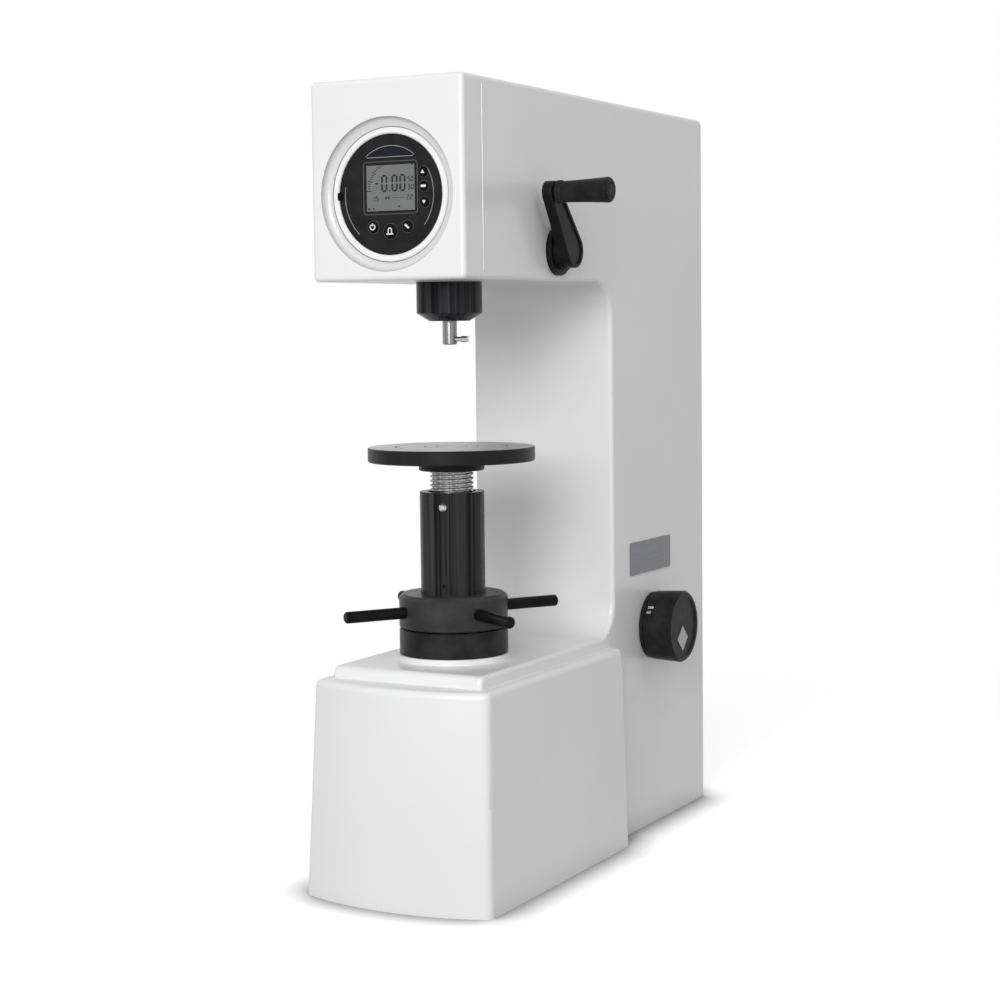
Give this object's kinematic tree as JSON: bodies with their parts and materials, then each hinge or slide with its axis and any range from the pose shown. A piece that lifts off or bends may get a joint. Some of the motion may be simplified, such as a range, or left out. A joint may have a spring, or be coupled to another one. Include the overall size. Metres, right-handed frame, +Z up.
{
  "type": "hardness tester",
  "caption": "Bench hardness tester: C-shaped housing, round anvil on a hand-turned screw, indenter spindle, digital dial, load crank and load selector knob.",
  "frame": {"origin": "on the floor plane, straight below the test axis, at the base plate's underside", "axes": "+Z up along the test axis, -Y towards the indicator's side, +X towards the crank's side"},
  "size_m": [0.241, 0.527, 0.71],
  "materials": {
    "paint": "semi-gloss white paint",
    "base_steel": "plain rolled steel",
    "fastener": "zinc-plated steel",
    "plate": "matt grey plate, left bare",
    "black_steel": "black oxide finish",
    "ground_steel": "ground steel",
    "anvil_steel": "ground top, blackened rim",
    "bearing_steel": "hardened bearing steel",
    "bronze": "bearing bronze",
    "lever_iron": "machined iron",
    "crank_metal": "black satin finish",
    "handle_plastic": "black moulding",
    "gauge_plastic": "dark grey moulding",
    "bezel": "white lacquered ring",
    "screen": "grey display",
    "board": "circuit board",
    "key_rubber": "black keys"
  },
  "bodies": {
    "frame": {"frame_casting": "paint", "fascia": "paint", "top_cover": "paint", "rear_cover": "paint", "base_plate": "base_steel", "cover_screws": "fastener", "label_plate": "plate", "screw_flange": "black_steel", "screw_bush": "bronze", "guide_key": "ground_steel", "thrust_race_lower": "bearing_steel", "thrust_rollers": "bearing_steel", "indenter_housing": "black_steel", "spindle_bush": "bronze", "spindle_spring": "bearing_steel", "fulcrum_bracket": "base_steel", "bracket_pins": "ground_steel", "crank_flange": "crank_metal", "shaft_bushes": "bronze", "detent_ball": "bearing_steel", "detent_spring": "base_steel", "lift_guide": "base_steel", "dashpot_cylinder": "base_steel", "dashpot_cap": "base_steel", "gauge_case": "gauge_plastic", "gauge_bezel": "bezel", "gauge_face": "gauge_plastic", "gauge_screen": "screen", "gauge_board": "board"},
    "screw": {"elevating_screw": "ground_steel", "anvil": "anvil_steel"},
    "capstan": {"capstan_nut": "black_steel", "capstan_bars": "black_steel", "sleeve": "black_steel", "sleeve_screws": "fastener", "thrust_race_upper": "bearing_steel"},
    "spindle": {"main_spindle": "ground_steel"},
    "thumb_screw": {"thumb_screw": "fastener"},
    "load_lever": {"load_lever": "lever_iron", "spindle_knife": "bearing_steel"},
    "measuring_lever": {"measuring_lever": "lever_iron"},
    "plunger": {"gauge_plunger": "ground_steel"},
    "crank": {"crank_shaft": "crank_metal", "crank_arm": "crank_metal", "grip_pin": "crank_metal"},
    "grip": {"crank_grip": "handle_plastic"},
    "selector": {"selector_knob": "handle_plastic", "selector_shaft": "ground_steel"},
    "lifting_fork": {"lifting_fork": "ground_steel"},
    "hanger": {"hanger_rod": "ground_steel", "weight_lower": "lever_iron", "weight_middle": "lever_iron", "weight_upper": "lever_iron"},
    "dashpot_piston": {"dashpot_piston": "ground_steel"},
    "key_lower_left": {"key_lower_left": "key_rubber"},
    "key_lower_middle": {"key_lower_middle": "key_rubber"},
    "key_lower_right": {"key_lower_right": "key_rubber"},
    "key_side_top": {"key_side_top": "key_rubber"},
    "key_side_middle": {"key_side_middle": "key_rubber"},
    "key_side_bottom": {"key_side_bottom": "key_rubber"}
  },
  "joints": [
    {"name": "anvil_lift", "type": "slide", "parent": "frame", "child": "screw", "axis": [0, 0, 1], "range_m": [-0.018, 0.088]},
    {"name": "capstan_turn", "type": "hinge", "parent": "frame", "child": "capstan", "pos_m": [0, 0, 0.24], "axis": [0, 0, 1], "range_deg": [-7921, 1621]},
    {"name": "spindle_lift", "type": "slide", "parent": "frame", "child": "spindle", "axis": [0, 0, 1], "range_m": [0, 0.0012], "deforming": ["spindle_spring"]},
    {"name": "thumb_screw_draw", "type": "slide", "parent": "spindle", "child": "thumb_screw", "axis": [1, 0, 0], "range_m": [0, 0.0025]},
    {"name": "measuring_lever_tilt", "type": "hinge", "parent": "frame", "child": "measuring_lever", "pos_m": [0, -0.03, 0.64], "axis": [1, 0, 0], "range_deg": [0, 2.4]},
    {"name": "plunger_slide", "type": "slide", "parent": "frame", "child": "plunger", "axis": [0, 1, 0], "range_m": [0, 0.0012]},
    {"name": "hanger_drop", "type": "slide", "parent": "frame", "child": "hanger", "axis": [0, 0, 1], "range_m": [-0.00623, 0]},
    {"name": "crank_turn", "type": "hinge", "parent": "frame", "child": "crank", "pos_m": [0.09, 0.065, 0.567], "axis": [1, 0, 0], "range_deg": [-90, 0]},
    {"name": "load_lever_tilt", "type": "hinge", "parent": "frame", "child": "load_lever", "pos_m": [0, -0.018, 0.594], "axis": [1, 0, 0], "range_deg": [-1.13, 0]},
    {"name": "piston_slide", "type": "slide", "parent": "frame", "child": "dashpot_piston", "axis": [0, 0, 1], "range_m": [-0.0046, 0]},
    {"name": "grip_spin", "type": "hinge", "parent": "crank", "child": "grip", "pos_m": [0.12, 0.027, 0.617], "axis": [1, 0, 0], "continuous": true},
    {"name": "selector_turn", "type": "hinge", "parent": "frame", "child": "selector", "pos_m": [0.09, 0.269, 0.201], "axis": [1, 0, 0], "range_deg": [0, 240]},
    {"name": "fork_lift", "type": "slide", "parent": "frame", "child": "lifting_fork", "axis": [0, 0, 1], "range_m": [0, 0.0121]},
    {"name": "key_lower_left_press", "type": "slide", "parent": "frame", "child": "key_lower_left", "axis": [0, 1, 0], "range_m": [0, 0.001], "stiffness_N_per_m": 800},
    {"name": "key_lower_middle_press", "type": "slide", "parent": "frame", "child": "key_lower_middle", "axis": [0, 1, 0], "range_m": [0, 0.001], "stiffness_N_per_m": 800},
    {"name": "key_lower_right_press", "type": "slide", "parent": "frame", "child": "key_lower_right", "axis": [0, 1, 0], "range_m": [0, 0.001], "stiffness_N_per_m": 800},
    {"name": "key_side_top_press", "type": "slide", "parent": "frame", "child": "key_side_top", "axis": [0, 1, 0], "range_m": [0, 0.001], "stiffness_N_per_m": 800},
    {"name": "key_side_middle_press", "type": "slide", "parent": "frame", "child": "key_side_middle", "axis": [0, 1, 0], "range_m": [0, 0.001], "stiffness_N_per_m": 800},
    {"name": "key_side_bottom_press", "type": "slide", "parent": "frame", "child": "key_side_bottom", "axis": [0, 1, 0], "range_m": [0, 0.001], "stiffness_N_per_m": 800}
  ],
  "couplings": [
    {"joint": "capstan_turn", "follows": "anvil_lift", "rad_per_m": -1570.8},
    {"joint": "measuring_lever_tilt", "follows": "spindle_lift", "rad_per_m": 33.333},
    {"joint": "plunger_slide", "follows": "spindle_lift", "ratio": 0.9167},
    {"joint": "crank_turn", "follows": "hanger_drop", "rad_per_m": 252.13},
    {"joint": "load_lever_tilt", "follows": "hanger_drop", "rad_per_m": 3.1461},
    {"joint": "piston_slide", "follows": "hanger_drop", "ratio": 0.733},
    {"joint": "fork_lift", "follows": "selector_turn", "m_per_rad": 0.0028648}
  ]
}
